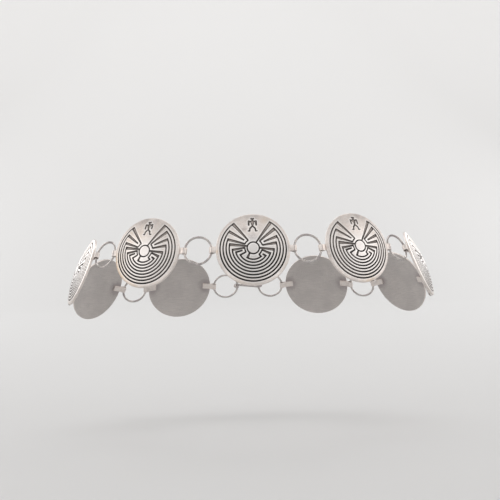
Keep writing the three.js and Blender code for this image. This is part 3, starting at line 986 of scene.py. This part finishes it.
def strap_material():
    """The rim's edge and the bails, whose strap has a fine dark line, sunk a little, across the outer curve.
    """
    nodes = Nodes("bail_silver")
    spot, moved = nodes.place()
    colour, rough, grain = satin_silver(nodes, moved)
    x, _, z = nodes.split(spot)
    off = nodes.math("SUBTRACT", nodes.math("ABSOLUTE", x), BAIL_REACH)
    # A fine dark line across the strap's outer curve, darkened in colour and sunk by a bump
    seam = nodes.ramp(nodes.math("ABSOLUTE", off), *STRAP_DARK_LINE, 1.0, 0.0)
    seam = nodes.times(seam, nodes.ramp(z, *STRAP_DARK_LINE_HEIGHTS))
    colour = nodes.mix(nodes.times(seam, 0.85), colour, TARNISH)
    bump = nodes.bump(nodes.math("SUBTRACT", 1.0, seam), 0.8, 0.10, nodes.bump(grain, 0.4, 0.03))
    nodes.set(Base_Color=colour, Metallic=1.0, Roughness=rough, Normal=bump)
    return nodes.material


def wire_material(name, lift):
    """Round drawn wire with small knocks. The lift makes it rougher."""
    nodes = Nodes(name)
    moved = nodes.place()[1]
    cloud = nodes.noise(moved, 0.35, 3.0)
    fine = nodes.noise(moved, 2.4, 3.0, 0.6)
    colour = nodes.mix(nodes.ramp(cloud, 0.35, 0.65), SILVER_DULL, SILVER_WIRE)
    colour = nodes.mix(nodes.ramp(nodes.noise(moved, 0.14, 3.0), 0.48, 0.66, 0.0, 0.5), colour, TARNISH)
    rough = nodes.ramp(fine, 0.3, 0.7, 0.17 + lift, 0.27 + lift)
    bump = nodes.bump(fine, 0.25, 0.02, nodes.bump(cloud, 0.2, 0.03))
    nodes.set(Base_Color=colour, Metallic=1.0, Roughness=rough, Normal=bump)
    return nodes.material


# Pieces on their CAD nodes


def add_piece(node, mesh, place):
    """Puts a mesh on the node that it replaces."""
    mesh.transform(place)
    piece = bpy.data.objects.new(node + "_look", mesh)
    bpy.context.scene.collection.objects.link(piece)
    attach(piece, "root")
    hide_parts(node)
    return piece


# Marks on the conchos: where on the face in millimetres, how wide, which kind and how strong
MARK_COLUMNS = ("x", "y", "radius", "kind", "strength")
MARKS = {
    "concho_front": [
        (-6.2, 14.0, 1.5, "tarnish", 0.55),
        (-4.6, 13.6, 1.0, "tarnish", 0.35),
        (2.5, 23.0, 2.2, "tarnish", 0.35),
        (-3.4, 23.2, 1.8, "tarnish", 0.25),
        (-0.4, 8.0, 3.2, "tarnish", 0.42),
        (24.2, 1.0, 1.9, "tarnish", 0.45),
        (8.5, 20.6, 2.6, "amber", 0.35),
        (-24.6, -1.0, 1.3, "amber", 0.6),
        (-10.0, -23.0, 3.0, "amber", 0.25),
        (-21.5, -12.5, 2.5, "tarnish", 0.2),
    ],
    "concho_left_1": [
        (-24.0, -5.0, 5.5, "amber", 0.6),
        (-22.0, -12.5, 4.5, "amber", 0.6),
        (-17.0, -18.0, 4.5, "amber", 0.6),
        (-8.0, -23.5, 4.0, "amber", 0.4),
        (-10.0, 10.0, 8.0, "amber", 0.3),
        (-18.0, -4.0, 7.0, "amber", 0.25),
        (-4.0, 23.5, 2.6, "tarnish", 0.45),
        (5.0, 23.4, 2.2, "tarnish", 0.35),
        (-8.0, 21.5, 2.4, "tarnish", 0.35),
    ],
    "concho_right_1": [
        (-23.6, -2.5, 1.0, "tarnish", 0.7),
        (-23.4, -6.0, 1.2, "tarnish", 0.7),
        (-24.0, 0.5, 2.0, "tarnish", 0.35),
        (4.0, 23.5, 2.4, "tarnish", 0.4),
        (14.0, 18.0, 1.6, "tarnish", 0.45),
        (5.0, -24.0, 4.5, "amber", 0.5),
        (7.0, -24.8, 2.0, "tarnish", 0.4),
    ],
}
MARKS_ELSEWHERE = 7
STRONGEST_MARK = 0.85


def marks_of(node):
    """The marks read off the photograph, or seeded ones on a concho that it shows edge-on or not."""
    if node in MARKS:
        return [dict(zip(MARK_COLUMNS, row)) for row in MARKS[node]]
    chance = np.random.default_rng(sum(map(ord, node)))
    marks = []
    for _ in range(MARKS_ELSEWHERE):
        r, turn = CONCHO_RADIUS * math.sqrt(chance.uniform(0.2, 1)), chance.uniform(0, 360)
        x, y = polar(r, turn)
        kind = "tarnish" if chance.random() < 0.6 else "amber"
        row = (float(x), float(y), chance.uniform(1.2, 3.5), kind, chance.uniform(0.2, 0.5))
        marks.append(dict(zip(MARK_COLUMNS, row)))
    return marks


def mark(mesh, node):
    """Writes each point's amount of tarnish and amber into the mesh."""
    count = len(mesh.vertices)
    spot = np.empty(count * 3, np.float32)
    mesh.attributes["spot"].data.foreach_get("vector", spot)
    spot = spot.reshape(count, 3)
    amounts = {"tarnish": np.zeros(count, np.float32), "amber": np.zeros(count, np.float32)}
    for m in marks_of(node):
        off = np.hypot(spot[:, 0] - m["x"], spot[:, 1] - m["y"])
        amounts[m["kind"]] += m["strength"] * np.exp(-((off / m["radius"]) ** 2))
    for kind, amount in amounts.items():
        attribute = mesh.attributes.new(kind, "FLOAT", "POINT")
        attribute.data.foreach_set("value", np.minimum(amount, STRONGEST_MARK))


# Where each ring's soldered joint lies: the first one's angle, and the turn from one to the next
FIRST_SEAM = 60
SEAM_TURN = 47


def build_belt():
    places = belt_places()
    concho = concho_mesh()
    ring_look = wire_material("ring_silver", 0.0)
    for i, (node, place) in enumerate(places.items()):
        if node.startswith("concho"):
            mesh = concho.copy()
            mesh.name = node
            mark(mesh, node)
            add_piece(node, mesh, place)
        elif node.startswith("ring"):
            add_piece(node, ring_mesh(node, ring_look, FIRST_SEAM + SEAM_TURN * i), place)
    hook = hook_mesh(wire_material("hook_silver", 0.04))
    add_piece("clasp_hook", hook, places["clasp_hook"])


# Camera, light and floor

# The photograph's view: distance from the front concho, pixels to a millimetre there, the
# turns about each axis in degrees, how far the view's middle is off the loop's middle, and how
# far the front concho stands before that middle
CAMERA = {
    "distance": 917.0,
    "scale": 1.4635,
    "azimuth": -1.470,
    "elevation": 1.748,
    "roll": 1.382,
    "shift_x": 0.598,
    "shift_z": 13.79,
    "front": 106.5,
}
FRAME_PIXELS = 500
SENSOR = 36.0


def add_camera():
    a, e, roll = (math.radians(CAMERA[k]) for k in ("azimuth", "elevation", "roll"))
    turn = np.array([[math.cos(a), math.sin(a), 0], [-math.sin(a), math.cos(a), 0], [0, 0, 1]])
    tip = np.array([[1, 0, 0], [0, math.cos(e), -math.sin(e)], [0, math.sin(e), math.cos(e)]])
    view = tip @ turn
    right, ahead, up = view
    spot = view.T @ np.array([CAMERA["shift_x"], -(CAMERA["distance"] + CAMERA["front"]), CAMERA["shift_z"]])
    x = right * math.cos(roll) - up * math.sin(roll)
    y = right * math.sin(roll) + up * math.cos(roll)
    data = bpy.data.cameras.new("camera")
    data.sensor_width = SENSOR
    data.lens = CAMERA["distance"] * CAMERA["scale"] * SENSOR / FRAME_PIXELS
    data.clip_start = 0.01
    data.clip_end = 50
    camera = bpy.data.objects.new("camera", data)
    for row in range(3):
        camera.matrix_world[row][0] = x[row]
        camera.matrix_world[row][1] = y[row]
        camera.matrix_world[row][2] = -ahead[row]
        camera.matrix_world[row][3] = spot[row] * MM
    bpy.context.scene.collection.objects.link(camera)
    bpy.context.scene.camera = camera


WHITE = (1.0, 1.0, 1.0)
WARM = (1.0, 0.95, 0.92)
# Soft panels, in metres and watts
LIGHT_COLUMNS = ("name", "place", "target", "size", "power", "tint")
LIGHTS = [
    ("front", (0.0, -1.5, 1.5), (0, 0, 0), (2.0, 1.0), 3.8, WHITE),
    ("low_left", (-0.75, -1.5, 0.2), (0, 0, 0), (0.8, 0.3), 0.95, WHITE),
    ("low_right", (0.75, -1.5, 0.2), (0, 0, 0), (0.8, 0.3), 0.95, WHITE),
    ("left", (-1.5, -0.5, 0.7), (0, 0, 0), (1.2, 1.2), 4.4, WARM),
    ("right", (1.5, -0.5, 0.7), (0, 0, 0), (1.2, 1.2), 4.5, WARM),
    ("rear_left", (-1.1, 1.2, 0.55), (0, 0, 0), (1.2, 0.8), 4.6, WHITE),
    ("rear_right", (1.1, 1.2, 0.55), (0, 0, 0), (1.2, 0.8), 4.6, WHITE),
    ("backdrop", (0, 0.7, 1.9), (0, 1.4, 0), (2.4, 1.0), 13, WHITE),
]
ROOM_COLOUR = (1.0, 0.985, 0.97, 1)
ROOM_STRENGTH = 0.56


def add_light(row):
    panel = dict(zip(LIGHT_COLUMNS, row))
    data = bpy.data.lights.new(panel["name"], "AREA")
    data.shape = "RECTANGLE"
    data.size, data.size_y = panel["size"]
    data.energy = panel["power"]
    data.color = panel["tint"]
    light = bpy.data.objects.new(panel["name"], data)
    light.location = panel["place"]
    aim = Vector(panel["target"]) - Vector(panel["place"])
    light.rotation_euler = aim.to_track_quat("-Z", "Y").to_euler()
    bpy.context.scene.collection.objects.link(light)


def add_studio():
    """A pale room with soft panels before, beside and behind the belt."""
    world = bpy.data.worlds.new("studio")
    bpy.context.scene.world = world
    world.use_nodes = True
    background = world.node_tree.nodes["Background"]
    background.inputs["Color"].default_value = ROOM_COLOUR
    background.inputs["Strength"].default_value = ROOM_STRENGTH
    for row in LIGHTS:
        add_light(row)
    bpy.context.scene.view_settings.view_transform = "Standard"


# The floor, in metres: its level and half width, and the curve up into the backdrop
FLOOR_LEVEL = -0.12
FLOOR_REACH = 3.6
CURVE_START = 1.2
CURVE_RADIUS = 0.8
CURVE_STEPS = 16
FLOOR_PALE = (0.64, 0.64, 0.64, 1)
NOTHING = (0, 0, 0, 1)
# Distances from the belt between which the floor turns into the room's light, and from which
# that light starts to show
FADE = (2.0, 3.1)
GLOW_START = 1.3


def floor_material():
    """Pale and matt near the belt. Further out it turns into the room's own light, so no edge shows."""
    nodes = Nodes("floor_pale")
    spot = nodes.add("ShaderNodeTexCoord").outputs["Object"]
    away = nodes.add("ShaderNodeVectorMath", spot, operation="LENGTH").outputs["Value"]
    far = nodes.ramp(away, *FADE)
    glow = nodes.ramp(away, GLOW_START, FADE[1])
    nodes.set(
        Base_Color=nodes.mix(far, FLOOR_PALE, NOTHING),
        Roughness=0.8,
        Specular_IOR_Level=nodes.ramp(far, 0.0, 1.0, 0.5, 0.0),
        Emission_Color=ROOM_COLOUR,
        Emission_Strength=nodes.times(glow, ROOM_STRENGTH),
    )
    return nodes.material


def add_floor():
    """A pale floor that curves up into a backdrop far behind."""
    profile = [(-FLOOR_REACH, 0.0), (0.0, 0.0), (CURVE_START, 0.0)]
    for i in range(1, CURVE_STEPS + 1):
        a = math.radians(90 * i / CURVE_STEPS)
        rise = CURVE_RADIUS * (1 - math.cos(a))
        profile.append((CURVE_START + CURVE_RADIUS * math.sin(a), rise))
    profile.append((CURVE_START + CURVE_RADIUS, FLOOR_REACH))
    points, faces = [], []
    for y, z in profile:
        points += [(-FLOOR_REACH, y, z + FLOOR_LEVEL), (FLOOR_REACH, y, z + FLOOR_LEVEL)]
    for i in range(len(profile) - 1):
        faces.append((2 * i, 2 * i + 1, 2 * i + 3, 2 * i + 2))
    mesh = bpy.data.meshes.new("floor")
    mesh.from_pydata(points, [], faces)
    mesh.polygons.foreach_set("use_smooth", [True] * len(faces))
    mesh.materials.append(floor_material())
    floor = bpy.data.objects.new("floor", mesh)
    bpy.context.scene.collection.objects.link(floor)


build_belt()
add_floor()
add_studio()
add_camera()
